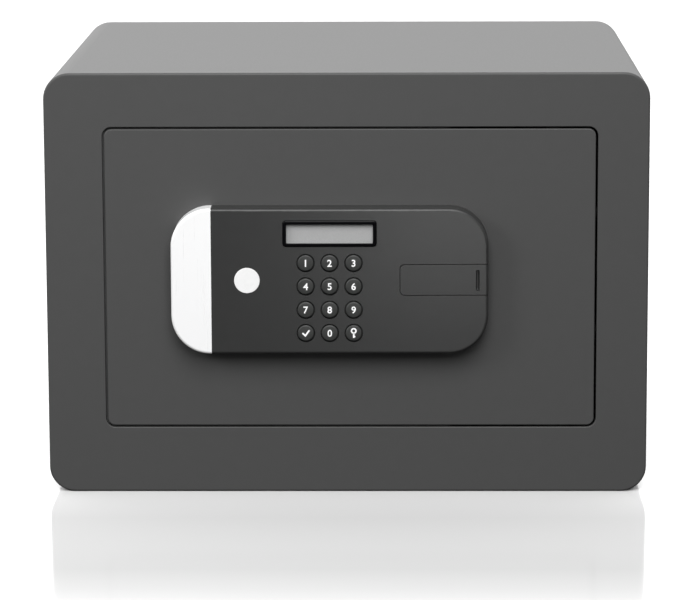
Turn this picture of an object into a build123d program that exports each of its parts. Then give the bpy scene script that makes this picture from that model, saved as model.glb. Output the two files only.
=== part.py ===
from build123d import *
import math
import os

os.makedirs("parts", exist_ok=True)

# ---------------------------------------------------------------------------
# Electronic safe. Millimetres. Origin: centre of the steel body's underside.
# +X to the right as seen from the front, +Y to the rear, +Z up.
# ---------------------------------------------------------------------------

# steel body
BODY_W = 350.0
BODY_H = 247.0
BODY_D = 300.0
BODY_R = 15.0
WALL = 3.0
Y_FRONT = -BODY_D / 2
Y_REAR = BODY_D / 2
ZC = BODY_H / 2
EDGE_R = 1.3

# door opening in the front frame
OPEN_X0, OPEN_X1 = -141.3, 145.2
OPEN_Z0, OPEN_Z1 = 38.7, 215.6
OPEN_R = 5.4

# door leaf
DOOR_X0, DOOR_X1 = -140.15, 143.95
DOOR_Z0, DOOR_Z1 = 39.85, 214.45
DOOR_R = 4.3
DOOR_T = 3.0
PAN_X0, PAN_X1 = -134.0, 132.0
PAN_Z0, PAN_Z1 = 46.0, 208.0
PAN_T = 2.0
PAN_Y1 = -107.0
COVER_T = 1.5

# hinge: two concealed pivots on one vertical axis
PIV_X, PIV_Y = 120.0, -142.0
PIN_R = 3.0
PIN_CLEAR = 0.05

# locking bolts
BOLT_R = 10.0
BOLT_Y = -127.0
BOLT_Z = (82.0, 172.0)
BOLT_TIP = -135.5
BOLT_TRAVEL = 18.0
FLANGE_X = -100.0

# rack and pinion
MOD = 1.0
TEETH = 18
PITCH_R = MOD * TEETH / 2
PIN_X, PIN_Z = -44.0, 118.0
RACK_Z = PIN_Z + PITCH_R

# lock cylinder behind the sliding cover
LOCK_X, LOCK_Z = 45.0, 128.45
LOCK_R = 8.9
PLUG_R = 5.0

# fascia
FAS_X0, FAS_X1 = -101.6, 81.9
FAS_Z0, FAS_Z1 = 84.9, 170.1
FAS_R = 22.75
FAS_T = 2.5
SPLIT_X = -78.3
Y_FACE = -164.0

# keypad
KEY_COLS = (-23.65, -9.80, 4.05)
KEY_ROWS = (138.39, 124.74, 111.01, 97.33)
KEY_R = 4.75
KEY_HOLE_R = 5.40
KEY_TRAVEL = 1.0
Y_KEY = -164.7

# display
DIS_X0, DIS_X1 = -37.0, 17.5
DIS_Z0, DIS_Z1 = 147.8, 163.3

# sliding cover over the lock
CV_X0 = 31.0
CV_Z0, CV_Z1 = 119.6, 137.3
CV_GAP = 0.4
Y_FLOOR = -153.0
CV_TRAVEL = 32.0

# anchor holes
ANCHOR_R = 6.0
ANCHOR_DX = 220.0
ANCHOR_Z = 150.0


def xz(y):
    """Plane facing the front at the given Y: sketch x is X, sketch y is Z."""
    return Plane.XZ.offset(-y)


def xy(z):
    return Plane.XY.offset(z)


def yz(x):
    """Plane facing +X at the given X: sketch x is Y, sketch y is Z."""
    return Plane.YZ.offset(x)


def save(builder, label):
    builder.part.label = label
    export_step(builder.part, "parts/" + label + ".step")


# ---------------------------------------------------------------------------
# body
# ---------------------------------------------------------------------------

# four-sided tube of bent sheet
with BuildPart() as body_shell:
    with BuildSketch(xz(Y_REAR - WALL)):
        with Locations((0, ZC)):
            RectangleRounded(BODY_W, BODY_H, BODY_R)
            RectangleRounded(
                BODY_W - 2 * WALL, BODY_H - 2 * WALL, BODY_R - WALL, mode=Mode.SUBTRACT
            )
    extrude(amount=BODY_D - 2 * WALL)
    # anchor holes in the base
    with BuildSketch(xy(-1)):
        with Locations((-ANCHOR_DX / 2, 0), (ANCHOR_DX / 2, 0)):
            Circle(ANCHOR_R)
    extrude(amount=WALL + 2, mode=Mode.SUBTRACT)
save(body_shell, "body_shell")

# front frame, with the door opening cut in it
with BuildPart() as front_frame:
    with BuildSketch(xz(Y_FRONT + WALL)):
        with Locations((0, ZC)):
            RectangleRounded(BODY_W, BODY_H, BODY_R)
    extrude(amount=WALL)
    fillet(front_frame.faces().sort_by(Axis.Y)[0].edges(), EDGE_R)
    with BuildSketch(xz(Y_FRONT + WALL)):
        with Locations(((OPEN_X0 + OPEN_X1) / 2, (OPEN_Z0 + OPEN_Z1) / 2)):
            RectangleRounded(OPEN_X1 - OPEN_X0, OPEN_Z1 - OPEN_Z0, OPEN_R)
    extrude(amount=WALL, mode=Mode.SUBTRACT)
    # broken front edge of the opening
    fillet(
        front_frame.faces().sort_by(Axis.Y)[0].inner_wires()[0].edges(), 0.5
    )
save(front_frame, "front_frame")

# rear panel with two wall-fixing holes
with BuildPart() as rear_panel:
    with BuildSketch(xz(Y_REAR)):
        with Locations((0, ZC)):
            RectangleRounded(BODY_W, BODY_H, BODY_R)
    extrude(amount=WALL)
    fillet(rear_panel.faces().sort_by(Axis.Y)[-1].edges(), EDGE_R)
    with BuildSketch(xz(Y_REAR + 1)):
        with Locations((-ANCHOR_DX / 2, ANCHOR_Z), (ANCHOR_DX / 2, ANCHOR_Z)):
            Circle(ANCHOR_R)
    extrude(amount=WALL + 2, mode=Mode.SUBTRACT)
save(rear_panel, "rear_panel")

# stop: a U of strip behind the frame, left of the hinge; its lip, set back a
# little, catches the door's rear face on three sides
STOP_Y = Y_FRONT + WALL
LIP_X = -137.6
LIP_Z0, LIP_Z1 = DOOR_Z0 + 2.5, DOOR_Z1 - 2.5
with BuildPart() as door_stop:
    with BuildSketch(xz(STOP_Y + 3.0)):
        with Locations(((-162.0 + 60.0) / 2, ZC + 3.6)):
            Rectangle(222.0, 206.0)
        with Locations(((LIP_X + 61.0) / 2, (LIP_Z0 + LIP_Z1) / 2)):
            Rectangle(61.0 - LIP_X, LIP_Z1 - LIP_Z0, mode=Mode.SUBTRACT)
    extrude(amount=3.0)
    # the lip's face sits clear of the door's rear face
    with BuildSketch(xz(STOP_Y + 0.4)):
        with Locations(((OPEN_X0 + 61.0) / 2, (OPEN_Z0 + OPEN_Z1) / 2)):
            Rectangle(61.0 - OPEN_X0, OPEN_Z1 - OPEN_Z0)
    extrude(amount=0.5, mode=Mode.SUBTRACT)
save(door_stop, "door_stop")

# keeper: bent plate that the locking bolts enter, fixed to the left wall
with BuildPart() as bolt_keeper:
    with BuildSketch(xy(56.0)):
        with BuildLine():
            Polyline(
                (-146.5, STOP_Y + 3.0),
                (-143.5, STOP_Y + 3.0),
                (-143.5, -108.0),
                (-172.0, -108.0),
                (-172.0, -111.0),
                (-146.5, -111.0),
                close=True,
            )
        make_face()
    extrude(amount=142.0)
    with BuildSketch(yz(-148.0)):
        with Locations(*[(BOLT_Y, z) for z in BOLT_Z]):
            Circle(BOLT_R + 1.2)
    extrude(amount=6.0, mode=Mode.SUBTRACT)
save(bolt_keeper, "bolt_keeper")

# hinge brackets: each a shelf with the pivot bore and a flange on the frame's
# rear, one above the door and one below it
with BuildPart() as hinge_brackets:
    with BuildSketch(yz(104.0)):
        for z0, up in ((216.8, 1), (37.4, -1)):
            with BuildLine():
                Polyline(
                    (STOP_Y, z0),
                    (-124.0, z0),
                    (-124.0, z0 + up * 4.0),
                    (STOP_Y + 4.0, z0 + up * 4.0),
                    (STOP_Y + 4.0, z0 + up * 22.0),
                    (STOP_Y, z0 + up * 22.0),
                    close=True,
                )
            make_face()
    extrude(amount=32.0)
    with BuildSketch(xy(25.0)):
        with Locations((PIV_X, PIV_Y)):
            Circle(PIN_R + PIN_CLEAR)
    extrude(amount=200.0, mode=Mode.SUBTRACT)
save(hinge_brackets, "hinge_brackets")

# floor lining, clear of the anchor holes
with BuildPart() as floor_lining:
    with BuildSketch(xy(WALL)):
        with Locations((0, 12.0)):
            RectangleRounded(318.0, 256.0, 6.0)
        with Locations((-ANCHOR_DX / 2, 0), (ANCHOR_DX / 2, 0)):
            Circle(9.0, mode=Mode.SUBTRACT)
    extrude(amount=3.0)
save(floor_lining, "floor_lining")

# ---------------------------------------------------------------------------
# door
# ---------------------------------------------------------------------------

FAS_SCREWS = [
    (-82.2, 103.0),
    (-82.2, 152.5),
    (-66.0, 95.0),
    (-66.0, 160.5),
    (62.0, 98.5),
    (62.0, 157.0),
]
CABLE_X, CABLE_Z = 20.0, 156.0

with BuildPart() as door_plate:
    with BuildSketch(xz(Y_FRONT + DOOR_T)):
        with Locations(((DOOR_X0 + DOOR_X1) / 2, (DOOR_Z0 + DOOR_Z1) / 2)):
            RectangleRounded(DOOR_X1 - DOOR_X0, DOOR_Z1 - DOOR_Z0, DOOR_R)
    extrude(amount=DOOR_T)
    fillet(door_plate.faces().sort_by(Axis.Y)[0].edges(), 0.6)
    with BuildSketch(xz(Y_FRONT + DOOR_T + 1)):
        with Locations((LOCK_X, LOCK_Z)):
            Circle(LOCK_R + 0.3)
        with Locations((CABLE_X, CABLE_Z)):
            Circle(4.0)
        with Locations(*FAS_SCREWS):
            Circle(2.2)
    extrude(amount=DOOR_T + 2, mode=Mode.SUBTRACT)
save(door_plate, "door_plate")

# door box: four walls with rear flanges that the rear cover screws to
PAN_XC, PAN_ZC = (PAN_X0 + PAN_X1) / 2, (PAN_Z0 + PAN_Z1) / 2
PAN_W, PAN_H = PAN_X1 - PAN_X0, PAN_Z1 - PAN_Z0
COVER_SCREWS = [
    (x, z) for z in (PAN_Z0 + 7.0, PAN_Z1 - 7.0) for x in (-122.0, -1.0, 119.0)
]
with BuildPart() as door_pan:
    with BuildSketch(xz(PAN_Y1)):
        with Locations((PAN_XC, PAN_ZC)):
            RectangleRounded(PAN_W, PAN_H, 3.0)
            RectangleRounded(
                PAN_W - 2 * PAN_T, PAN_H - 2 * PAN_T, 1.0, mode=Mode.SUBTRACT
            )
    extrude(amount=PAN_Y1 - (Y_FRONT + DOOR_T))
    with BuildSketch(xz(PAN_Y1)):
        with Locations((PAN_XC, PAN_Z0 + 8.0), (PAN_XC, PAN_Z1 - 8.0)):
            Rectangle(PAN_W - 2 * PAN_T, 12.0)
    extrude(amount=2.0)
    with BuildSketch(xz(PAN_Y1 + 1)):
        with Locations(*COVER_SCREWS):
            Circle(1.75)
        # room for the battery holder
        with Locations((56.0, PAN_Z0 + PAN_T + 7.0)):
            Rectangle(70.0, 14.0)
    extrude(amount=5.0, mode=Mode.SUBTRACT)
    # bolt guide seats in the left wall
    with BuildSketch(yz(PAN_X0 - 1)):
        with Locations(*[(BOLT_Y, z) for z in BOLT_Z]):
            Circle(BOLT_R + 2.5)
    extrude(amount=PAN_T + 2, mode=Mode.SUBTRACT)
    # pivot seats in the top and bottom walls
    with BuildSketch(xy(PAN_Z0 - 1)):
        with Locations((PIV_X, PIV_Y)):
            Circle(PIN_R)
    extrude(amount=PAN_H + 2, mode=Mode.SUBTRACT)
    # fixed dogs' seats in the right wall
    with BuildSketch(yz(PAN_X1 - PAN_T - 1)):
        with Locations((BOLT_Y, 92.0), (BOLT_Y, 162.0)):
            Circle(5.0)
    extrude(amount=PAN_T + 2, mode=Mode.SUBTRACT)
save(door_pan, "door_pan")

# hinge pins: stepped, pressed through the door box, turning in the brackets
with BuildPart() as hinge_pins:
    with BuildSketch(xy(PAN_Z0 - 8.4 - 4.6)):
        with Locations((PIV_X, PIV_Y)):
            Circle(PIN_R)
    extrude(amount=20.0)
    with BuildSketch(xy(37.75)):
        with Locations((PIV_X, PIV_Y)):
            Circle(4.6)
    extrude(amount=PAN_Z0 - 37.75)
    with BuildSketch(xy(221.2)):
        with Locations((PIV_X, PIV_Y)):
            Circle(PIN_R)
    extrude(amount=-20.0)
    with BuildSketch(xy(PAN_Z1)):
        with Locations((PIV_X, PIV_Y)):
            Circle(4.6)
    extrude(amount=216.45 - PAN_Z1)
save(hinge_pins, "hinge_pins")

# fixed dogs on the hinge side, which stand behind the frame when it is shut
with BuildPart() as hinge_side_dogs:
    with BuildSketch(yz(PAN_X1 - PAN_T - 1.6)):
        with Locations((BOLT_Y, 92.0), (BOLT_Y, 162.0)):
            Circle(7.5)
    extrude(amount=1.6)
    with BuildSketch(yz(PAN_X1 - PAN_T)):
        with Locations((BOLT_Y, 92.0), (BOLT_Y, 162.0)):
            Circle(5.0)
    extrude(amount=22.0)
    chamfer(hinge_side_dogs.faces().sort_by(Axis.X)[-2:].edges(), 1.2)
save(hinge_side_dogs, "hinge_side_dogs")

# flanged guide bushes of the two bolts
with BuildPart() as bolt_guides:
    with BuildSketch(yz(PAN_X0)):
        with Locations(*[(BOLT_Y, z) for z in BOLT_Z]):
            Circle(BOLT_R + 2.5)
    extrude(amount=PAN_T)
    with BuildSketch(yz(PAN_X0 + PAN_T)):
        with Locations(*[(BOLT_Y, z) for z in BOLT_Z]):
            Circle(BOLT_R + 4.5)
    extrude(amount=8.0)
    with BuildSketch(yz(PAN_X0 - 1)):
        with Locations(*[(BOLT_Y, z) for z in BOLT_Z]):
            Circle(BOLT_R + 0.06)
    extrude(amount=14.0, mode=Mode.SUBTRACT)
save(bolt_guides, "bolt_guides")

# the two locking bolts, each with a reduced shank through the carriage flange
with BuildPart() as locking_bolts:
    with BuildSketch(yz(BOLT_TIP)):
        with Locations(*[(BOLT_Y, z) for z in BOLT_Z]):
            Circle(BOLT_R)
    extrude(amount=FLANGE_X - BOLT_TIP)
    chamfer(locking_bolts.faces().sort_by(Axis.X)[:2].edges(), 1.5)
    with BuildSketch(yz(FLANGE_X)):
        with Locations(*[(BOLT_Y, z) for z in BOLT_Z]):
            Circle(5.0)
    extrude(amount=9.0)
save(locking_bolts, "locking_bolts")

with BuildPart() as bolt_nuts:
    with BuildSketch(yz(FLANGE_X + 3.0)):
        with Locations(*[(BOLT_Y, z) for z in BOLT_Z]):
            RegularPolygon(9.2, 6)
            Circle(5.0, mode=Mode.SUBTRACT)
    extrude(amount=4.5)
save(bolt_nuts, "bolt_nuts")

# bolt carriage: angle plate carrying both bolts, with guide slots and a rack
SLOT_X = (-78.0, -41.0)
SLOT_Z = 144.0
tooth = math.pi * MOD
add_h, ded_h = 0.9 * MOD, 1.25 * MOD
half_pitch = tooth / 4 - 0.12
slope = math.tan(math.radians(20))
rack_line = [(-97.0, 66.0), (-85.0, 66.0), (-85.0, RACK_Z + ded_h)]
for n in range(-2, 8):
    xc = PIN_X + n * tooth
    rack_line += [
        (xc - half_pitch - slope * ded_h, RACK_Z + ded_h),
        (xc - half_pitch + slope * add_h, RACK_Z - add_h),
        (xc + half_pitch - slope * add_h, RACK_Z - add_h),
        (xc + half_pitch + slope * ded_h, RACK_Z + ded_h),
    ]
rack_line += [
    (-17.0, RACK_Z + ded_h),
    (-17.0, 154.0),
    (-85.0, 154.0),
    (-85.0, 188.0),
    (-97.0, 188.0),
]
with BuildPart() as bolt_carriage:
    with BuildSketch(xz(-114.0)):
        with BuildLine():
            Polyline(*rack_line, close=True)
        make_face()
        with Locations(*[(x + BOLT_TRAVEL / 2, SLOT_Z) for x in SLOT_X]):
            SlotOverall(BOLT_TRAVEL + 6.6, 6.6, mode=Mode.SUBTRACT)
    extrude(amount=3.0)
    with BuildSketch(yz(FLANGE_X)):
        with Locations((-127.0, 127.0)):
            Rectangle(26.0, 122.0)
        with Locations(*[(BOLT_Y, z) for z in BOLT_Z]):
            Circle(5.0, mode=Mode.SUBTRACT)
    extrude(amount=3.0)
save(bolt_carriage, "bolt_carriage")

# shouldered studs that the carriage slides on
with BuildPart() as carriage_studs:
    with BuildSketch(xz(Y_FRONT + DOOR_T)):
        with Locations(*[(x, SLOT_Z) for x in SLOT_X]):
            Circle(5.0)
    extrude(amount=-(-117.4 - (Y_FRONT + DOOR_T)))
    with BuildSketch(xz(-117.4)):
        with Locations(*[(x, SLOT_Z) for x in SLOT_X]):
            Circle(3.0)
    extrude(amount=-5.4)
    with BuildSketch(xz(-113.6)):
        with Locations(*[(x, SLOT_Z) for x in SLOT_X]):
            Circle(5.0)
    extrude(amount=-1.2)
save(carriage_studs, "carriage_studs")

# drive pinion, involute teeth, on the gear unit's output shaft
base_r = PITCH_R * math.cos(math.radians(20))
inv20 = math.tan(math.radians(20)) - math.radians(20)
tip_r, root_r = PITCH_R + 0.9 * MOD, PITCH_R - 1.25 * MOD
half_tooth = (tooth / 2 - 0.2) / (2 * PITCH_R)


def flank_angle(r):
    if r <= base_r:
        return half_tooth + inv20
    a = math.acos(base_r / r)
    return half_tooth + inv20 - (math.tan(a) - a)


radii = [root_r, base_r, 8.8, 9.2, 9.55, tip_r]
gear_pts = []
for k in range(TEETH):
    mid = 2 * math.pi * k / TEETH
    for r in radii:
        a = mid - flank_angle(r)
        gear_pts.append((PIN_X + r * math.cos(a), PIN_Z + r * math.sin(a)))
    for r in reversed(radii):
        a = mid + flank_angle(r)
        gear_pts.append((PIN_X + r * math.cos(a), PIN_Z + r * math.sin(a)))
with BuildPart() as drive_pinion:
    with BuildSketch(xz(-112.6)):
        with BuildLine():
            Polyline(*gear_pts, close=True)
        make_face()
        with Locations((PIN_X, PIN_Z)):
            Circle(2.5, mode=Mode.SUBTRACT)
    extrude(amount=5.0)
    with BuildSketch(xz(-111.0)):
        with Locations((PIN_X, PIN_Z)):
            Circle(5.2)
            Circle(2.5, mode=Mode.SUBTRACT)
    extrude(amount=1.6)
save(drive_pinion, "drive_pinion")

with BuildPart() as output_shaft:
    with BuildSketch(xz(-110.6)):
        with Locations((PIN_X, PIN_Z)):
            Circle(2.5)
    extrude(amount=15.4)
    chamfer(output_shaft.faces().sort_by(Axis.Y)[-1].edges(), 0.4)
save(output_shaft, "output_shaft")

# gear unit and motor, side by side under the carriage
with BuildPart() as gearbox_housing:
    with BuildSketch(xz(-119.0)):
        with Locations((PIN_X, PIN_Z)):
            RectangleRounded(34.0, 36.0, 2.5)
    extrude(amount=17.0)
    with BuildSketch(xz(-118.2)):
        with Locations((PIN_X, PIN_Z)):
            Circle(6.0)
    extrude(amount=1.0)
    with BuildSketch(xz(-118.0)):
        with Locations((PIN_X, PIN_Z)):
            Circle(2.55)
    extrude(amount=8.4, mode=Mode.SUBTRACT)
save(gearbox_housing, "gearbox_housing")

with BuildPart() as drive_motor:
    with BuildSketch(yz(PIN_X + 17.0)):
        with Locations((-127.5, 114.0)):
            Circle(12.0)
            with Locations((0, 10.5), (0, -10.5)):
                Rectangle(26.0, 3.0, mode=Mode.SUBTRACT)
    extrude(amount=27.0)
    with BuildSketch(yz(PIN_X + 44.0)):
        with Locations((-127.5, 114.0)):
            Circle(4.0)
    extrude(amount=2.2)
save(drive_motor, "drive_motor")

# channel that holds the gear unit to the door plate
with BuildPart() as motor_bracket:
    with BuildSketch(yz(PIN_X - 17.0)):
        with BuildLine():
            Polyline(
                (Y_FRONT + DOOR_T, 92.0),
                (Y_FRONT + DOOR_T + 2.0, 92.0),
                (Y_FRONT + DOOR_T + 2.0, 98.0),
                (-122.0, 98.0),
                (-122.0, 100.0),
                (-136.0, 100.0),
                (-136.0, 136.0),
                (-122.0, 136.0),
                (-122.0, 137.6),
                (-138.0, 137.6),
                (-138.0, 100.0),
                (Y_FRONT + DOOR_T, 100.0),
                close=True,
            )
        make_face()
    extrude(amount=34.0)
save(motor_bracket, "motor_bracket")

# hardened plate around the lock cylinder
with BuildPart() as anti_drill_plate:
    with BuildSketch(xz(Y_FRONT + DOOR_T + 2.0)):
        with Locations((LOCK_X - 1.0, LOCK_Z)):
            RectangleRounded(50.0, 37.0, 3.0)
        with Locations((LOCK_X, LOCK_Z)):
            Circle(LOCK_R + 0.3, mode=Mode.SUBTRACT)
    extrude(amount=2.0)
save(anti_drill_plate, "anti_drill_plate")

# lock cylinder: housing, nut, turning plug, cam and its screw
with BuildPart() as lock_housing:
    with BuildSketch(xz(-121.0)):
        with Locations((LOCK_X, LOCK_Z)):
            Circle(LOCK_R)
            Circle(PLUG_R + 0.06, mode=Mode.SUBTRACT)
    extrude(amount=-121.0 - Y_FLOOR)
save(lock_housing, "lock_housing")

with BuildPart() as lock_nut:
    with BuildSketch(xz(-141.0)):
        with Locations((LOCK_X, LOCK_Z)):
            RegularPolygon(13.5, 6)
            Circle(LOCK_R + 0.05, mode=Mode.SUBTRACT)
    extrude(amount=4.0)
    chamfer(lock_nut.faces().sort_by(Axis.Y)[-1].outer_wire().edges(), 0.6)
save(lock_nut, "lock_nut")

with BuildPart() as lock_plug:
    with BuildSketch(xz(-120.6)):
        with Locations((LOCK_X, LOCK_Z)):
            Circle(PLUG_R)
    extrude(amount=-120.6 - Y_FLOOR)
    with BuildSketch(xz(-117.4)):
        with Locations((LOCK_X, LOCK_Z)):
            Rectangle(6.0, 6.0)
            Circle(1.5, mode=Mode.SUBTRACT)
    extrude(amount=3.2)
    # keyway
    with BuildSketch(xz(Y_FLOOR + 22.0)):
        with Locations((LOCK_X, LOCK_Z + 0.6)):
            Rectangle(1.7, 7.0)
        with Locations((LOCK_X + 0.6, LOCK_Z - 1.2)):
            Rectangle(1.6, 1.6)
    extrude(amount=23.0, mode=Mode.SUBTRACT)
save(lock_plug, "lock_plug")

with BuildPart() as lock_cam:
    with BuildSketch(xz(-117.6)):
        with Locations((LOCK_X, LOCK_Z)):
            Circle(7.5)
        with Locations((LOCK_X, LOCK_Z + 10.0)):
            RectangleRounded(10.0, 24.0, 3.0)
        with Locations((LOCK_X, LOCK_Z)):
            Rectangle(6.1, 6.1, mode=Mode.SUBTRACT)
    extrude(amount=2.6)
save(lock_cam, "lock_cam")

with BuildPart() as cam_screw:
    with BuildSketch(xz(-115.2)):
        with Locations((LOCK_X, LOCK_Z)):
            Circle(4.6)
    extrude(amount=2.2)
    with BuildSketch(xz(-117.4)):
        with Locations((LOCK_X, LOCK_Z)):
            Circle(1.45)
    extrude(amount=3.0)
    with BuildSketch(xz(-115.2)):
        with Locations((LOCK_X, LOCK_Z)):
            Rectangle(5.0, 0.9)
            Rectangle(0.9, 5.0)
    extrude(amount=1.0, mode=Mode.SUBTRACT)
save(cam_screw, "cam_screw")

# battery holder, seen from the rear through an opening in the cover
BAT_X0, BAT_X1 = 22.0, 90.0
BAT_Z0, BAT_Z1 = 53.0, 112.0
BAT_Y0 = -125.0
CELL_R, CELL_L = 7.1, 50.2
CELL_X = [BAT_X0 + 3.5 + 7.6 + 15.26 * k for k in range(4)]
CELL_ZC = (BAT_Z0 + BAT_Z1) / 2
with BuildPart() as battery_box:
    with BuildSketch(xz(-107.4)):
        with Locations(((BAT_X0 + BAT_X1) / 2, CELL_ZC)):
            RectangleRounded(BAT_X1 - BAT_X0, BAT_Z1 - BAT_Z0, 2.0)
    extrude(amount=-107.4 - BAT_Y0)
    with BuildSketch(xz(-107.4)):
        with Locations(((BAT_X0 + BAT_X1) / 2, CELL_ZC)):
            RectangleRounded(BAT_X1 - BAT_X0 - 4.0, BAT_Z1 - BAT_Z0 - 4.0, 1.0)
    extrude(amount=-107.4 - BAT_Y0 - 2.0, mode=Mode.SUBTRACT)
save(battery_box, "battery_box")

with BuildPart() as battery_cells:
    for k, cx in enumerate(CELL_X):
        s = 1 if k % 2 == 0 else -1
        with BuildSketch(xy(CELL_ZC - s * CELL_L / 2)):
            with Locations((cx, -115.4)):
                Circle(CELL_R)
        extrude(amount=s * (CELL_L - 1.5))
        with BuildSketch(xy(CELL_ZC + s * (CELL_L / 2 - 1.5))):
            with Locations((cx, -115.4)):
                Circle(2.7)
        extrude(amount=s * 1.5)
save(battery_cells, "battery_cells")

with BuildPart() as battery_contacts:
    for zc in (BAT_Z0 + 2.3, BAT_Z1 - 2.3):
        with BuildSketch(xy(zc - 0.25)):
            if zc < CELL_ZC:
                with Locations(
                    ((CELL_X[0] + CELL_X[1]) / 2, -115.4),
                    ((CELL_X[2] + CELL_X[3]) / 2, -115.4),
                ):
                    Rectangle(25.0, 9.0)
            else:
                with Locations(
                    (CELL_X[0], -115.4),
                    ((CELL_X[1] + CELL_X[2]) / 2, -115.4),
                    (CELL_X[3], -115.4),
                ):
                    Rectangle(10.0, 9.0)
        extrude(amount=0.5)
save(battery_contacts, "battery_contacts")

# rear cover of the door, with the battery opening and the button hole
BTN_X, BTN_Z = 104.0, 176.0
RAIL_Z = 2.2
with BuildPart() as rear_cover:
    with BuildSketch(xz(PAN_Y1 + COVER_T)):
        with Locations((PAN_XC, PAN_ZC)):
            RectangleRounded(PAN_W, PAN_H, 3.0)
    extrude(amount=COVER_T)
    fillet(rear_cover.faces().sort_by(Axis.Y)[-1].edges(), 0.6)
    # straight rails above and below the battery opening
    with BuildSketch(yz(BAT_X0 - 4.0)):
        for zr, s in ((BAT_Z0 - 3.0, 1), (BAT_Z1 + 3.0, -1)):
            with BuildLine():
                Polyline(
                    (PAN_Y1 + COVER_T, zr),
                    (PAN_Y1 + COVER_T, zr - s * 2.0),
                    (PAN_Y1 + COVER_T + 4.0, zr - s * 2.0),
                    (PAN_Y1 + COVER_T + 4.0, zr + s * 1.6),
                    (PAN_Y1 + COVER_T + 2.7, zr + s * 1.6),
                    (PAN_Y1 + COVER_T + 2.7, zr),
                    close=True,
                )
            make_face()
    extrude(amount=BAT_X1 - BAT_X0 + 8.0)
    with BuildSketch(xz(PAN_Y1 + COVER_T + 1)):
        with Locations(((BAT_X0 + BAT_X1) / 2, CELL_ZC)):
            RectangleRounded(BAT_X1 - BAT_X0 - 4.0, BAT_Z1 - BAT_Z0 - 4.0, 1.0)
        with Locations(*COVER_SCREWS):
            Circle(2.2)
        with Locations((BTN_X, BTN_Z)):
            Circle(4.4)
    extrude(amount=COVER_T + 2, mode=Mode.SUBTRACT)
save(rear_cover, "rear_cover")

with BuildPart() as battery_cover:
    with BuildSketch(xz(PAN_Y1 + COVER_T + 2.3)):
        with Locations(((BAT_X0 + BAT_X1) / 2, CELL_ZC)):
            Rectangle(BAT_X1 - BAT_X0 + 8.0, BAT_Z1 - BAT_Z0 + 5.2)
    extrude(amount=2.0)
    with BuildSketch(xz(PAN_Y1 + COVER_T + 4.0)):
        with Locations(((BAT_X0 + BAT_X1) / 2, CELL_ZC)):
            RectangleRounded(BAT_X1 - BAT_X0 + 8.0, BAT_Z1 - BAT_Z0 + 1.6, 1.5)
    extrude(amount=1.8)
    # ribs for the thumb
    with BuildSketch(xz(PAN_Y1 + COVER_T + 4.6)):
        with GridLocations(3.0, 1.0, 6, 1):
            with Locations((BAT_X1 - 12.0, CELL_ZC)):
                RectangleRounded(1.4, 26.0, 0.6)
    extrude(amount=0.8)
save(battery_cover, "battery_cover")

# cover screws, cross-recessed
with BuildPart() as rear_cover_screws:
    with BuildSketch(xz(PAN_Y1 + COVER_T + 1.8)):
        with Locations(*COVER_SCREWS):
            Circle(3.6)
    extrude(amount=1.8)
    fillet(rear_cover_screws.faces().sort_by(Axis.Y)[-6:].edges(), 1.0)
    with BuildSketch(xz(PAN_Y1 + COVER_T)):
        with Locations(*COVER_SCREWS):
            Circle(1.7)
    extrude(amount=6.0)
    with BuildSketch(xz(PAN_Y1 + COVER_T + 2.0)):
        with Locations(*COVER_SCREWS):
            Rectangle(4.0, 0.8)
            Rectangle(0.8, 4.0)
    extrude(amount=1.2, mode=Mode.SUBTRACT)
save(rear_cover_screws, "rear_cover_screws")

# code button, which stands out of the rear cover
with BuildPart() as code_button:
    with BuildSketch(xz(PAN_Y1 + COVER_T + 2.2)):
        with Locations((BTN_X, BTN_Z)):
            Circle(4.0)
    extrude(amount=5.4)
    fillet(code_button.faces().sort_by(Axis.Y)[-1].edges(), 0.8)
    with BuildSketch(xz(PAN_Y1 - 0.4)):
        with Locations((BTN_X, BTN_Z)):
            Circle(5.6)
    extrude(amount=1.2)
save(code_button, "code_button")

# control board with its parts, on four pillars
BRD_X0, BRD_X1 = 70.0, 128.0
PIL_DX, PIL_DZ = 50.0, 54.0
BRD_Z0, BRD_Z1 = 138.0, 198.0
with BuildPart() as control_board:
    with BuildSketch(xz(-121.0)):
        with Locations(((BRD_X0 + BRD_X1) / 2, (BRD_Z0 + BRD_Z1) / 2)):
            RectangleRounded(BRD_X1 - BRD_X0, BRD_Z1 - BRD_Z0, 2.0)
            with GridLocations(PIL_DX, PIL_DZ, 2, 2):
                Circle(1.6, mode=Mode.SUBTRACT)
    extrude(amount=1.6)
    # switch under the button, controller, driver, relay, three sockets
    for cx, cz, w, h, t in (
        (BTN_X, BTN_Z, 6.2, 6.2, 7.4),
        (86.0, 168.0, 12.0, 12.0, 1.6),
        (86.0, 187.0, 8.0, 5.0, 1.6),
        (108.0, 154.0, 12.0, 15.0, 9.0),
    ):
        with BuildSketch(xz(-121.0)):
            with Locations((cx, cz)):
                RectangleRounded(w, h, 0.5)
        extrude(amount=-t)
    for cz, h in ((158.0, 10.0), (148.6, 7.0)):
        with BuildSketch(xz(-121.0)):
            with Locations((BRD_X0 + 3.0, cz)):
                Rectangle(6.0, h)
        extrude(amount=-6.0)
    with BuildSketch(xz(-121.0)):
        with Locations((96.0, BRD_Z0 + 3.0)):
            Rectangle(8.0, 6.0)
    extrude(amount=-6.0)
save(control_board, "control_board")

with BuildPart() as board_pillars:
    with BuildSketch(xz(Y_FRONT + DOOR_T)):
        with Locations(((BRD_X0 + BRD_X1) / 2, (BRD_Z0 + BRD_Z1) / 2)):
            with GridLocations(PIL_DX, PIL_DZ, 2, 2):
                Circle(3.0)
    extrude(amount=-24.4)
    with BuildSketch(xz(-122.6)):
        with Locations(((BRD_X0 + BRD_X1) / 2, (BRD_Z0 + BRD_Z1) / 2)):
            with GridLocations(PIL_DX, PIL_DZ, 2, 2):
                Circle(1.5)
    extrude(amount=-2.4)
save(board_pillars, "board_pillars")

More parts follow.
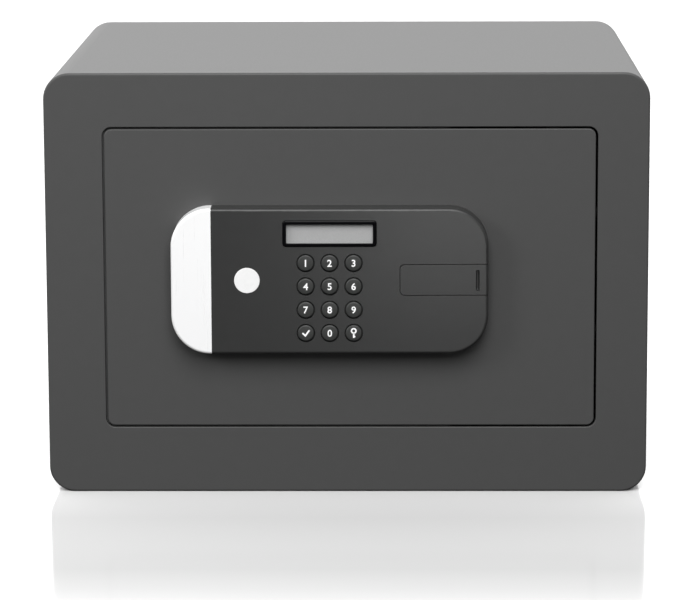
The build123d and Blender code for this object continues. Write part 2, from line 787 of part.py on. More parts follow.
# held leads inside the door: straight runs joined by tangent arcs
with BuildPart() as keypad_cable:
    with BuildLine() as run_a:
        FilletPolyline(
            (CABLE_X, -152.2, CABLE_Z),
            (CABLE_X, -118.0, CABLE_Z),
            (BRD_X0, -118.0, CABLE_Z),
            radius=14.0,
        )
    with BuildSketch(Plane(origin=run_a.line @ 0, z_dir=run_a.line % 0)):
        Circle(2.0)
    sweep(path=run_a.line)
save(keypad_cable, "keypad_cable")

with BuildPart() as internal_leads:
    with BuildLine() as run_b:
        FilletPolyline(
            (PIN_X + 46.2, -127.5, 114.0),
            (14.0, -127.5, 114.0),
            (14.0, -127.5, 148.6),
            (54.0, -127.5, 148.6),
            (62.0, -118.0, 148.6),
            (BRD_X0, -118.0, 148.6),
            radius=5.0,
        )
    with BuildSketch(Plane(origin=run_b.line @ 0, z_dir=run_b.line % 0)):
        Circle(1.4)
    sweep(path=run_b.line)
    with BuildLine() as run_c:
        FilletPolyline(
            (96.0, -118.0, BRD_Z0),
            (96.0, -118.0, 122.0),
            (84.0, -118.0, BAT_Z1 + 6.0),
            (84.0, -118.0, BAT_Z1),
            radius=3.0,
        )
    with BuildSketch(Plane(origin=run_c.line @ 0, z_dir=run_c.line % 0)):
        Circle(1.4)
    sweep(path=run_c.line)
save(internal_leads, "internal_leads")

# ---------------------------------------------------------------------------
# fascia on the door's front
# ---------------------------------------------------------------------------

# plan line of the fascia's face: slightly crowned, falling away on the right
FACE_LINE = [
    (-112.0, -163.25),
    (-60.0, -163.86),
    (-20.0, -164.0),
    (15.0, -163.95),
    (42.0, -163.8),
    (60.0, -163.6),
    (72.0, -163.4),
    (81.9, -163.2),
    (90.0, -163.0),
]


def face_profile(dy):
    """Closed plan region between the door and the face line moved back by dy."""
    with BuildSketch(xy(0)) as s:
        with BuildLine():
            line = Spline(*[(x, y + dy) for x, y in FACE_LINE])
            Polyline(
                line @ 1, (90.0, -140.0), (-112.0, -140.0), line @ 0
            )
        make_face()
    return s.sketch


FAS_XC, FAS_ZC = (FAS_X0 + FAS_X1) / 2, (FAS_Z0 + FAS_Z1) / 2
FAS_W, FAS_H = FAS_X1 - FAS_X0, FAS_Z1 - FAS_Z0

# outer form shared by the housing, the grip cap and the sliding cover
with BuildPart() as fascia_form:
    with BuildSketch(xz(Y_FRONT)):
        with Locations((FAS_XC, FAS_ZC)):
            RectangleRounded(FAS_W, FAS_H, FAS_R)
    extrude(amount=20.0)
    extrude(face_profile(0.0), amount=BODY_H, mode=Mode.INTERSECT)
    fillet(
        fascia_form.faces().sort_by(lambda f: f.center().Y)[0].edges(), 1.6
    )

# inner form: the hollow behind the face
with BuildPart() as fascia_hollow:
    with BuildSketch(xz(Y_FRONT + 1.0)):
        with Locations((FAS_XC, FAS_ZC)):
            RectangleRounded(FAS_W - 2 * FAS_T, FAS_H - 2 * FAS_T, FAS_R - FAS_T)
    extrude(amount=20.0)
    extrude(face_profile(FAS_T), amount=BODY_H, mode=Mode.INTERSECT)
    with Locations((SPLIT_X - 50.0 + 2.5, -155.0, FAS_ZC)):
        Box(100.0, 60.0, 120.0, mode=Mode.SUBTRACT)

REC_X0 = CV_X0 - CV_GAP
REC_Z0, REC_Z1 = CV_Z0 - CV_GAP, CV_Z1 + CV_GAP
REC_ZC = (REC_Z0 + REC_Z1) / 2
GRV_Z = 0.8 + 0.3 + (REC_Z1 - REC_Z0) / 2

with BuildPart() as fascia_housing:
    add(fascia_form.part)
    add(fascia_hollow.part, mode=Mode.SUBTRACT)
    with Locations((SPLIT_X - 50.0, -155.0, FAS_ZC)):
        Box(100.0, 60.0, 120.0, mode=Mode.SUBTRACT)
    # walls and floor of the lock recess
    with BuildSketch(xz(Y_FRONT)):
        with Locations(((REC_X0 - 1.8 + 79.0) / 2, REC_ZC)):
            Rectangle(79.0 - REC_X0 + 1.8, 2 * GRV_Z + 3.0)
        with Locations(*FAS_SCREWS[2:]):
            Circle(3.8)
    extrude(amount=9.0)
    with BuildSketch(xz(-158.9)):
        with Locations(((REC_X0 - 1.8 + 70.0) / 2, REC_ZC)):
            Rectangle(70.0 - REC_X0 + 1.8, 2 * GRV_Z + 3.0)
        with Locations(*FAS_SCREWS[2:]):
            Circle(3.8)
    extrude(amount=1.3)
    with BuildSketch(xz(-158.9)):
        with Locations(*FAS_SCREWS[2:]):
            Circle(3.8)
        with Locations(((REC_X0 - 1.8 + 79.0) / 2, REC_ZC)):
            Rectangle(79.0 - REC_X0 + 1.8, 2 * GRV_Z + 3.0)
    extrude(amount=2.9)
    add(fascia_form.part, mode=Mode.INTERSECT)
    # recess, open to the right, with its straight grooves
    with BuildSketch(xz(Y_FLOOR)):
        with Locations(((REC_X0 + 100.0) / 2, REC_ZC)):
            RectangleRounded(100.0 - REC_X0, REC_Z1 - REC_Z0, 3.0)
    extrude(amount=20.0, mode=Mode.SUBTRACT)
    with BuildSketch(yz(REC_X0 + 1.0)):
        with Locations((-153.95, REC_ZC)):
            Rectangle(1.9, 2 * GRV_Z)
    extrude(amount=70.0, mode=Mode.SUBTRACT)
    with BuildSketch(xz(Y_FRONT + 1)):
        with Locations((LOCK_X, LOCK_Z)):
            Circle(LOCK_R + 0.3)
    extrude(amount=6.0, mode=Mode.SUBTRACT)
    with BuildSketch(xz(Y_FRONT)):
        with Locations(*FAS_SCREWS[2:]):
            Circle(1.75)
    extrude(amount=8.0, mode=Mode.SUBTRACT)
    # key holes, display opening and the shallow seat of the disc
    with BuildSketch(xz(-158.0)):
        for x in KEY_COLS:
            for z in KEY_ROWS:
                with Locations((x, z)):
                    Circle(KEY_HOLE_R)
        with Locations(((DIS_X0 + DIS_X1) / 2, (DIS_Z0 + DIS_Z1) / 2)):
            RectangleRounded(DIS_X1 - DIS_X0, DIS_Z1 - DIS_Z0, 2.0)
    extrude(amount=10.0, mode=Mode.SUBTRACT)
    with BuildSketch(xz(-162.8)):
        with Locations((-57.57, 128.17)):
            Circle(7.5)
    extrude(amount=4.0, mode=Mode.SUBTRACT)
save(fascia_housing, "fascia_housing")

# bright end cap: its lip stands off the door as a pull for the fingers
with BuildPart() as grip_cap:
    add(fascia_form.part)
    with Locations((SPLIT_X + 100.0, -155.0, FAS_ZC)):
        Box(200.0, 60.0, 120.0, mode=Mode.SUBTRACT)
    with BuildSketch(xz(Y_FRONT + 1)):
        with Locations((-97.0, FAS_ZC)):
            RectangleRounded(20.0, 62.0, 4.0)
    extrude(amount=11.2, mode=Mode.SUBTRACT)
    with BuildSketch(xz(Y_FRONT)):
        with Locations(*FAS_SCREWS[:2]):
            Circle(1.75)
    extrude(amount=8.0, mode=Mode.SUBTRACT)
save(grip_cap, "grip_cap")

with BuildPart() as fascia_screws:
    with BuildSketch(xz(Y_FRONT + DOOR_T + 2.4)):
        with Locations(*FAS_SCREWS):
            Circle(3.6)
    extrude(amount=2.4)
    with BuildSketch(xz(Y_FRONT + DOOR_T)):
        with Locations(*FAS_SCREWS):
            Circle(1.7)
    extrude(amount=9.5)
save(fascia_screws, "fascia_screws")

with BuildPart() as badge_disc:
    with BuildSketch(xz(-162.8)):
        with Locations((-57.57, 128.17)):
            Circle(7.4)
    extrude(amount=1.35)
    fillet(badge_disc.faces().sort_by(Axis.Y)[0].edges(), 0.25)
save(badge_disc, "badge_disc")

# display: raised gloss bezel, clear window and the module behind it
DIS_XC, DIS_ZC = (DIS_X0 + DIS_X1) / 2, (DIS_Z0 + DIS_Z1) / 2
with BuildPart() as display_bezel:
    with BuildSketch(xz(-160.2)):
        with Locations((DIS_XC, DIS_ZC)):
            RectangleRounded(DIS_X1 - DIS_X0 - 0.2, DIS_Z1 - DIS_Z0 - 0.2, 1.9)
    extrude(amount=4.7)
    fillet(display_bezel.faces().sort_by(Axis.Y)[0].edges(), 0.8)
    with BuildSketch(xz(-160.2)):
        with Locations((DIS_XC, DIS_ZC)):
            RectangleRounded(DIS_X1 - DIS_X0 + 3.0, DIS_Z1 - DIS_Z0 + 3.0, 2.5)
    extrude(amount=1.0)
    with BuildSketch(xz(-160.0)):
        with Locations((DIS_XC, DIS_ZC - 0.1)):
            RectangleRounded(50.0, 11.2, 0.6)
    extrude(amount=6.0, mode=Mode.SUBTRACT)
    with BuildSketch(xz(-160.0)):
        with Locations((DIS_XC, DIS_ZC)):
            RectangleRounded(52.2, 13.2, 0.8)
    extrude(amount=3.2, mode=Mode.SUBTRACT)
save(display_bezel, "display_bezel")

with BuildPart() as display_window:
    with BuildSketch(xz(-162.2)):
        with Locations((DIS_XC, DIS_ZC)):
            RectangleRounded(52.0, 13.0, 0.7)
    extrude(amount=1.0)
save(display_window, "display_window")

with BuildPart() as lcd_module:
    with BuildSketch(xz(-157.3)):
        with Locations((DIS_XC, DIS_ZC)):
            RectangleRounded(51.6, 12.6, 0.5)
    extrude(amount=4.7)
save(lcd_module, "lcd_module")

with BuildPart() as keypad_board:
    with BuildSketch(xz(-155.7)):
        with Locations((-8.5, 127.8)):
            RectangleRounded(68.0, 74.0, 2.0)
    extrude(amount=1.6)
    with BuildSketch(xz(-152.2)):
        with Locations((CABLE_X - 1.5, CABLE_Z)):
            Rectangle(9.0, 8.0)
    extrude(amount=3.5)
save(keypad_board, "keypad_board")

with BuildPart() as key_membrane:
    with BuildSketch(xz(-157.3)):
        with Locations((KEY_COLS[1], (KEY_ROWS[0] + KEY_ROWS[3]) / 2)):
            RectangleRounded(44.0, 54.0, 2.0)
    extrude(amount=0.7)
save(key_membrane, "key_membrane")

# sliding cover of the lock: hollow, with tongues that run in the grooves
with BuildPart() as cover_hollow:
    with BuildSketch(xz(-153.0)):
        with Locations((52.2, REC_ZC)):
            RectangleRounded(39.2, CV_Z1 - CV_Z0 - 3.2, 1.5)
    extrude(amount=12.0)
    extrude(face_profile(1.8), amount=BODY_H, mode=Mode.INTERSECT)

with BuildPart() as slide_cover:
    add(fascia_form.part)
    with BuildSketch(xz(-153.3)):
        with Locations(((CV_X0 + 110.0) / 2, REC_ZC)):
            RectangleRounded(110.0 - CV_X0, CV_Z1 - CV_Z0, 2.7)
    extrude(amount=20.0, mode=Mode.INTERSECT)
    add(cover_hollow.part, mode=Mode.SUBTRACT)
    with BuildSketch(yz(CV_X0 + 4.0)):
        with Locations((-153.95, REC_ZC)):
            Rectangle(1.3, 2 * (GRV_Z - 0.3))
    extrude(amount=32.0)
    with Locations((52.2, -154.0, REC_ZC)):
        Box(39.2, 3.0, CV_Z1 - CV_Z0 - 3.2, mode=Mode.SUBTRACT)
    # nail slot with a round bottom
    with BuildSketch(xz(-161.6)):
        with Locations((75.7, 128.05)):
            SlotOverall(12.4, 2.1, rotation=90)
    extrude(amount=8.0, mode=Mode.SUBTRACT)
    with Locations((75.7, -161.6, 128.05)):
        Cylinder(1.05, 10.3, mode=Mode.SUBTRACT)
    with Locations((75.7, -161.6, 122.9), (75.7, -161.6, 133.2)):
        Sphere(1.05, mode=Mode.SUBTRACT)
save(slide_cover, "slide_cover")

# twelve keys: domed cap, retaining rim and plunger, turned about each axis
KEY_NAMES = (
    ("key_1", "key_2", "key_3"),
    ("key_4", "key_5", "key_6"),
    ("key_7", "key_8", "key_9"),
    ("key_confirm", "key_0", "key_program"),
)
for row, z in zip(KEY_NAMES, KEY_ROWS):
    for label, x in zip(row, KEY_COLS):
        with BuildPart() as key:
            with BuildSketch(xy(z)):
                with BuildLine():
                    ThreePointArc(
                        (x, Y_KEY), (x + 2.0, Y_KEY + 0.045), (x + 3.9, Y_KEY + 0.17)
                    )
                    ThreePointArc(
                        (x + 3.9, Y_KEY + 0.17),
                        (x + 4.45, Y_KEY + 0.38),
                        (x + KEY_R, Y_KEY + 0.95),
                    )
                    Polyline(
                        (x + KEY_R, Y_KEY + 0.95),
                        (x + KEY_R, -161.2),
                        (x + 6.2, -161.2),
                        (x + 6.2, -160.2),
                        (x + 2.0, -160.2),
                        (x + 2.0, -159.3),
                        (x, -159.3),
                        (x, Y_KEY),
                    )
                make_face()
            revolve(axis=Axis((x, 0, z), (0, 1, 0)))
        save(key, label)
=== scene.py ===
import math

import bmesh
import bpy
from mathutils import Matrix, Vector


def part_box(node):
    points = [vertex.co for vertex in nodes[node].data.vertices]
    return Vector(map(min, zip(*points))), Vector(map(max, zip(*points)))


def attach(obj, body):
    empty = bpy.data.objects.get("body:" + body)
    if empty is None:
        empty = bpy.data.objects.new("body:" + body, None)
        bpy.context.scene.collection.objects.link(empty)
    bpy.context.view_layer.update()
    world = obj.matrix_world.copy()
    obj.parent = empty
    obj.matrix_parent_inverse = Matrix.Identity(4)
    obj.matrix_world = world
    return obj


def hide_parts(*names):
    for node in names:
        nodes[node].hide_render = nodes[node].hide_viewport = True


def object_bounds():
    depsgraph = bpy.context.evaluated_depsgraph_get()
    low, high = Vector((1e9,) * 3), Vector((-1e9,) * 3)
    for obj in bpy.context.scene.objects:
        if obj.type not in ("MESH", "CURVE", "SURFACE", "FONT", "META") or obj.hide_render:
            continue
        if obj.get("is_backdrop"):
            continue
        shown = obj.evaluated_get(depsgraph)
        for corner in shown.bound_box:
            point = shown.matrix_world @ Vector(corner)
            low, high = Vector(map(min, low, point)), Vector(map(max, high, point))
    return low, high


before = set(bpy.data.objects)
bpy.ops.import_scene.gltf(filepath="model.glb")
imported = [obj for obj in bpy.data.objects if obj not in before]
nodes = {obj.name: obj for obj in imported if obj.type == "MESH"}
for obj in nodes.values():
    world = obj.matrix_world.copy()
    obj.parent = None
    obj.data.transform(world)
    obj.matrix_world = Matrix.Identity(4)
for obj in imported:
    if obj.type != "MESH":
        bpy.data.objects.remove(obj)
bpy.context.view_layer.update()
MM = 0.001

# ---------------------------------------------------------------------------
# small helpers
# ---------------------------------------------------------------------------


def new_object(name, mesh):
    ob = bpy.data.objects.new(name, mesh)
    bpy.context.scene.collection.objects.link(ob)
    return ob


def put(ob, mat):
    ob.data.materials.clear()
    ob.data.materials.append(mat)
    return ob


class Mat:
    """A node material: shader plus the nodes that feed it, in object space (metres)."""

    def __init__(self, name, base, rough, metallic=0.0, spec=0.5, coat=0.0, coat_rough=0.1):
        self.m = bpy.data.materials.new(name)
        self.m.use_nodes = True
        self.nt = self.m.node_tree
        self.n = self.nt.nodes
        self.l = self.nt.links
        self.b = self.n["Principled BSDF"]
        self.b.inputs["Base Color"].default_value = (*base, 1)
        self.b.inputs["Roughness"].default_value = rough
        self.b.inputs["Metallic"].default_value = metallic
        self.b.inputs["Specular IOR Level"].default_value = spec
        self.b.inputs["Coat Weight"].default_value = coat
        self.b.inputs["Coat Roughness"].default_value = coat_rough
        self.tc = self.n.new("ShaderNodeTexCoord")
        self.bump = None

    def noise(self, scale, detail=2.0, rough=0.5, stretch=(1, 1, 1), distortion=0.0):
        mp = self.n.new("ShaderNodeMapping")
        mp.inputs["Scale"].default_value = stretch
        self.l.new(self.tc.outputs["Object"], mp.inputs["Vector"])
        t = self.n.new("ShaderNodeTexNoise")
        t.inputs["Scale"].default_value = scale
        t.inputs["Detail"].default_value = detail
        t.inputs["Roughness"].default_value = rough
        t.inputs["Distortion"].default_value = distortion
        self.l.new(mp.outputs["Vector"], t.inputs["Vector"])
        return t.outputs["Fac"]

    def voronoi(self, scale, stretch=(1, 1, 1)):
        mp = self.n.new("ShaderNodeMapping")
        mp.inputs["Scale"].default_value = stretch
        self.l.new(self.tc.outputs["Object"], mp.inputs["Vector"])
        t = self.n.new("ShaderNodeTexVoronoi")
        t.inputs["Scale"].default_value = scale
        self.l.new(mp.outputs["Vector"], t.inputs["Vector"])
        return t.outputs["Distance"]

    def remap(self, fac, lo, hi, a=0.3, b=0.7):
        r = self.n.new("ShaderNodeMapRange")
        r.inputs["From Min"].default_value = a
        r.inputs["From Max"].default_value = b
        r.inputs["To Min"].default_value = lo
        r.inputs["To Max"].default_value = hi
        self.l.new(fac, r.inputs["Value"])
        return r.outputs["Result"]

    def roughness(self, fac, lo, hi, a=0.3, b=0.7):
        self.l.new(self.remap(fac, lo, hi, a, b), self.b.inputs["Roughness"])
        return self

    def color(self, fac, c0, c1, a=0.3, b=0.7):
        r = self.n.new("ShaderNodeValToRGB")
        r.color_ramp.elements[0].position = a
        r.color_ramp.elements[1].position = b
        r.color_ramp.elements[0].color = (*c0, 1)
        r.color_ramp.elements[1].color = (*c1, 1)
        self.l.new(fac, r.inputs["Fac"])
        self.l.new(r.outputs["Color"], self.b.inputs["Base Color"])
        return self

    def add_bump(self, fac, distance, strength=1.0):
        bp = self.n.new("ShaderNodeBump")
        bp.inputs["Distance"].default_value = distance
        bp.inputs["Strength"].default_value = strength
        self.l.new(fac, bp.inputs["Height"])
        if self.bump is not None:
            self.l.new(self.bump.outputs["Normal"], bp.inputs["Normal"])
        self.bump = bp
        self.l.new(bp.outputs["Normal"], self.b.inputs["Normal"])
        return self


def lin(v):
    """sRGB grey level, 0 to 255, to a linear value."""
    v /= 255.0
    return v / 12.92 if v <= 0.04045 else ((v + 0.055) / 1.055) ** 2.4


# ---------------------------------------------------------------------------
# materials
# ---------------------------------------------------------------------------

paint = Mat("powder_coat", (0.060, 0.0602, 0.0600), 0.44, spec=0.3)
paint.color(paint.noise(140.0, 3.0, 0.55), (0.0565, 0.0567, 0.0565), (0.0585, 0.0587, 0.0585))
paint.roughness(paint.noise(700.0, 2.0, 0.5), 0.43, 0.45)
paint.add_bump(paint.noise(2600.0, 2.0, 0.6), 0.00001, 0.4)
PAINT = paint.m

inside = Mat("powder_coat_inside", (0.06, 0.061, 0.061), 0.55, spec=0.3)
inside.color(inside.noise(14.0, 3.0), (0.056, 0.057, 0.057), (0.064, 0.065, 0.065))
inside.roughness(inside.noise(50.0, 3.0), 0.5, 0.6)
inside.add_bump(inside.noise(2200.0, 2.0), 0.00001, 0.6)
INSIDE = inside.m

plastic = Mat("charcoal_plastic", (0.024, 0.0244, 0.0242), 0.34, spec=0.36)
plastic.color(plastic.noise(160.0, 2.0), (0.0232, 0.0235, 0.0233), (0.0248, 0.0251, 0.0249))
plastic.roughness(plastic.noise(600.0, 3.0, 0.6), 0.32, 0.36)
plastic.add_bump(plastic.noise(3800.0, 3.0, 0.65), 0.000012, 0.6)
PLASTIC = plastic.m

metal = Mat("satin_bright_metal", (0.90, 0.902, 0.904), 0.30, metallic=0.15)
metal.roughness(metal.noise(900.0, 4.0, 0.7, (1.0, 1.0, 0.02)), 0.26, 0.36)
metal.add_bump(metal.noise(2400.0, 3.0, 0.7, (1.0, 1.0, 0.012)), 0.000002, 0.15)
METAL = metal.m

enamel = Mat("white_enamel", (0.90, 0.90, 0.895), 0.24, spec=0.5, coat=0.3, coat_rough=0.08)
enamel.color(enamel.noise(300.0, 2.0), (0.77, 0.77, 0.768), (0.80, 0.80, 0.798))
enamel.roughness(enamel.noise(800.0, 3.0), 0.2, 0.28)
enamel.add_bump(enamel.noise(900.0, 2.0), 0.000006, 0.3)
ENAMEL = enamel.m

gloss = Mat("gloss_black", (0.003, 0.003, 0.0035), 0.09, spec=0.1)
gloss.roughness(gloss.noise(700.0, 3.0, 0.6), 0.06, 0.12)
gloss.add_bump(gloss.noise(500.0, 2.0), 0.000003, 0.25)
GLOSS = gloss.m

lcd = Mat("blank_lcd", (0.36, 0.36, 0.36), 0.35, spec=0.3)
lcd.color(lcd.noise(260.0, 2.0), (0.248, 0.249, 0.248), (0.258, 0.259, 0.258))
lcd.roughness(lcd.noise(2000.0, 2.0), 0.32, 0.4)
LCD = lcd.m

rubber = Mat("key_rubber", (0.030, 0.031, 0.030), 0.45, spec=0.4)
rubber.color(rubber.noise(500.0, 2.0), (0.028, 0.029, 0.028), (0.033, 0.034, 0.033))
rubber.roughness(rubber.noise(900.0, 3.0), 0.40, 0.50)
rubber.add_bump(rubber.noise(5200.0, 2.0, 0.6), 0.000010, 0.5)
RUBBER = rubber.m

ink = Mat("legend_white", (0.88, 0.88, 0.88), 0.5, spec=0.3)
ink.roughness(ink.noise(2500.0, 2.0), 0.45, 0.6)
ink.color(ink.noise(1800.0, 2.0), (0.86, 0.86, 0.86), (0.9, 0.9, 0.9))
INK = ink.m

oxide = Mat("black_oxide_steel", (0.018, 0.018, 0.018), 0.5, metallic=0.4, spec=0.3)
oxide.color(oxide.noise(300.0, 3.0), (0.014, 0.014, 0.014), (0.022, 0.022, 0.022))
oxide.roughness(oxide.noise(900.0, 3.0), 0.44, 0.56)
oxide.add_bump(oxide.noise(1800.0, 2.0), 0.000006, 0.3)
OXIDE = oxide.m

zinc = Mat("zinc_plate", (0.56, 0.56, 0.55), 0.34, metallic=1.0)
zinc.color(zinc.voronoi(220.0), (0.50, 0.50, 0.49), (0.62, 0.62, 0.61), 0.0, 0.9)
zinc.roughness(zinc.noise(260.0, 4.0, 0.65), 0.26, 0.42)
zinc.add_bump(zinc.noise(1500.0, 3.0), 0.000008, 0.3)
ZINC = zinc.m

nickel = Mat("bright_nickel", (0.72, 0.71, 0.69), 0.14, metallic=1.0)
nickel.roughness(nickel.noise(1600.0, 3.0, 0.7, (1.0, 0.03, 0.03)), 0.10, 0.22)
nickel.add_bump(nickel.noise(2600.0, 2.0, 0.6, (1.0, 0.03, 0.03)), 0.000004, 0.4)
NICKEL = nickel.m

brass = Mat("turned_brass", (0.72, 0.53, 0.23), 0.24, metallic=1.0)
brass.color(brass.noise(180.0, 3.0), (0.66, 0.48, 0.20), (0.76, 0.57, 0.26))
brass.roughness(brass.noise(1400.0, 3.0), 0.18, 0.32)
brass.add_bump(brass.noise(1800.0, 2.0), 0.000006, 0.4)
BRASS = brass.m

black = Mat("black_moulding", (0.02, 0.02, 0.02), 0.5, spec=0.4)
black.color(black.noise(60.0, 2.0), (0.018, 0.018, 0.018), (0.023, 0.023, 0.023))
black.roughness(black.noise(300.0, 3.0), 0.45, 0.56)
black.add_bump(black.noise(2600.0, 3.0, 0.6), 0.000015, 0.5)
BLACK = black.m

nylon = Mat("natural_nylon", (0.72, 0.70, 0.64), 0.45, spec=0.45)
nylon.color(nylon.noise(120.0, 2.0), (0.68, 0.66, 0.60), (0.76, 0.74, 0.68))
nylon.roughness(nylon.noise(500.0, 3.0), 0.38, 0.5)
nylon.add_bump(nylon.noise(1400.0, 2.0), 0.00001, 0.4)
NYLON = nylon.m

board = Mat("circuit_board", (0.02, 0.12, 0.055), 0.3, spec=0.5)
board.color(board.voronoi(380.0, (1, 1, 0.12)), (0.014, 0.085, 0.04), (0.03, 0.16, 0.075), 0.1, 0.6)
board.roughness(board.noise(600.0, 3.0), 0.24, 0.38)
board.add_bump(board.voronoi(380.0, (1, 1, 0.12)), 0.00003, 0.4)
BOARD = board.m

wrap = Mat("cell_film", (0.09, 0.10, 0.13), 0.22, spec=0.5, coat=0.3, coat_rough=0.08)
wrap.color(wrap.noise(70.0, 2.0, 0.5, (0.2, 0.2, 1.0)), (0.07, 0.08, 0.11), (0.11, 0.12, 0.15))
wrap.roughness(wrap.noise(900.0, 2.0), 0.18, 0.3)
wrap.add_bump(wrap.noise(500.0, 2.0), 0.00001, 0.3)
WRAP = wrap.m

jacket = Mat("lead_jacket", (0.018, 0.018, 0.018), 0.42, spec=0.45)
jacket.color(jacket.noise(200.0, 2.0), (0.015, 0.015, 0.015), (0.022, 0.022, 0.022))
jacket.roughness(jacket.noise(700.0, 3.0), 0.36, 0.5)
jacket.add_bump(jacket.noise(1800.0, 2.0), 0.00001, 0.4)
JACKET = jacket.m

red = Mat("red_button", (0.42, 0.02, 0.015), 0.3, spec=0.5)
red.color(red.noise(400.0, 2.0), (0.38, 0.017, 0.012), (0.46, 0.024, 0.018))
red.roughness(red.noise(1200.0, 2.0), 0.24, 0.36)
red.add_bump(red.noise(2500.0, 2.0), 0.000006, 0.4)
RED = red.m

felt = Mat("needle_felt", (0.055, 0.055, 0.058), 0.95, spec=0.2)
felt.b.inputs["Sheen Weight"].default_value = 0.35
felt.b.inputs["Sheen Roughness"].default_value = 0.5
felt.color(felt.noise(900.0, 6.0, 0.75, distortion=1.2), (0.030, 0.030, 0.033), (0.085, 0.085, 0.09), 0.32, 0.68)
felt.add_bump(felt.noise(1300.0, 5.0, 0.75, distortion=1.5), 0.0006, 0.7)
felt.add_bump(felt.noise(60.0, 2.0), 0.0004, 0.4)
FELT = felt.m

# clear window in front of the display
win = bpy.data.materials.new("clear_window")
win.use_nodes = True
nt = win.node_tree
b = nt.nodes["Principled BSDF"]
b.inputs["Base Color"].default_value = (0.9, 0.91, 0.91, 1)
b.inputs["Roughness"].default_value = 0.04
b.inputs["Specular IOR Level"].default_value = 0.25
b.inputs["Alpha"].default_value = 0.10
tc = nt.nodes.new("ShaderNodeTexCoord")
tx = nt.nodes.new("ShaderNodeTexNoise")
tx.inputs["Scale"].default_value = 400.0
nt.links.new(tc.outputs["Object"], tx.inputs["Vector"])
mr = nt.nodes.new("ShaderNodeMapRange")
mr.inputs["To Min"].default_value = 0.03
mr.inputs["To Max"].default_value = 0.07
nt.links.new(tx.outputs["Fac"], mr.inputs["Value"])
nt.links.new(mr.outputs["Result"], b.inputs["Roughness"])
WINDOW = win

LOOKS = {
    "body_shell": PAINT,
    "front_frame": PAINT,
    "rear_panel": PAINT,
    "door_plate": PAINT,
    "door_stop": INSIDE,
    "door_pan": INSIDE,
    "rear_cover": INSIDE,
    "bolt_keeper": INSIDE,
    "hinge_brackets": INSIDE,
    "fascia_housing": PLASTIC,
    "slide_cover": PLASTIC,
    "grip_cap": METAL,
    "badge_disc": ENAMEL,
    "display_bezel": GLOSS,
    "display_window": WINDOW,
    "lcd_module": LCD,
    "key_membrane": RUBBER,
    "keypad_board": BOARD,
    "control_board": BOARD,
    "battery_box": BLACK,
    "battery_cover": BLACK,
    "gearbox_housing": BLACK,
    "bolt_guides": NYLON,
    "drive_pinion": NYLON,
    "lock_housing": BRASS,
    "lock_plug": BRASS,
    "battery_cells": WRAP,
    "keypad_cable": JACKET,
    "internal_leads": JACKET,
    "code_button": RED,
    "locking_bolts": NICKEL,
    "hinge_pins": OXIDE,
    "hinge_side_dogs": OXIDE,
}
for name, ob in nodes.items():
    if name.startswith("key_") and name != "key_membrane":
        put(ob, RUBBER)
    else:
        put(ob, LOOKS.get(name, ZINC))

# ---------------------------------------------------------------------------
# legends on the keys: thin inlays that follow each cap
# ---------------------------------------------------------------------------

KEY_TOP = min(v.co.y for v in nodes["key_5"].data.vertices)
DIGIT_H = 4.1 * MM


def flat_to_cap(mesh, cx, cz):
    """Stands a drawing in the XY plane on a cap's crown, facing the front."""
    for v in mesh.vertices:
        x, y, z = v.co
        v.co = Vector((cx + x, KEY_TOP - 0.00004 if z > 0 else KEY_TOP + 0.0004, cz + y))
    mesh.update()


def text_mesh(char):
    cu = bpy.data.curves.new("digit_" + char, "FONT")
    cu.body = char
    cu.size = 0.006
    cu.offset = 0.00011
    cu.extrude = 0.0002
    cu.resolution_u = 8
    cu.align_x = "CENTER"
    tmp = bpy.data.objects.new("tmp_digit", cu)
    bpy.context.scene.collection.objects.link(tmp)
    bpy.context.view_layer.update()
    dg = bpy.context.evaluated_depsgraph_get()
    me = bpy.data.meshes.new_from_object(tmp.evaluated_get(dg))
    bpy.data.objects.remove(tmp)
    bpy.data.curves.remove(cu)
    xs = [v.co.x for v in me.vertices]
    ys = [v.co.y for v in me.vertices]
    cx, cy = (min(xs) + max(xs)) / 2, (min(ys) + max(ys)) / 2
    s = DIGIT_H / (max(ys) - min(ys))
    for v in me.vertices:
        v.co.x = (v.co.x - cx) * s
        v.co.y = (v.co.y - cy) * s
    bm = bmesh.new()
    bm.from_mesh(me)
    bmesh.ops.remove_doubles(bm, verts=bm.verts, dist=1e-7)
    bm.to_mesh(me)
    bm.free()
    return me


def ribbon(points, width, closed=False, steps=0):
    """Outline of a stroke with flat ends, as a flat list of XY points."""
    r = width / 2
    left, right = [], []
    n = len(points)
    for i, p in enumerate(points):
        p = Vector(p)
        a = (p - Vector(points[i - 1])).normalized() if i > 0 else None
        c = (Vector(points[i + 1]) - p).normalized() if i < n - 1 else None
        d = ((a or c) + (c or a)).normalized()
        nrm = Vector((-d.y, d.x))
        k = 1.0 / max(0.45, nrm.dot(Vector((-(a or c).y, (a or c).x))))
        left.append(p + nrm * r * k)
        right.append(p - nrm * r * k)
    return [tuple(q) for q in left] + [tuple(q) for q in reversed(right)]


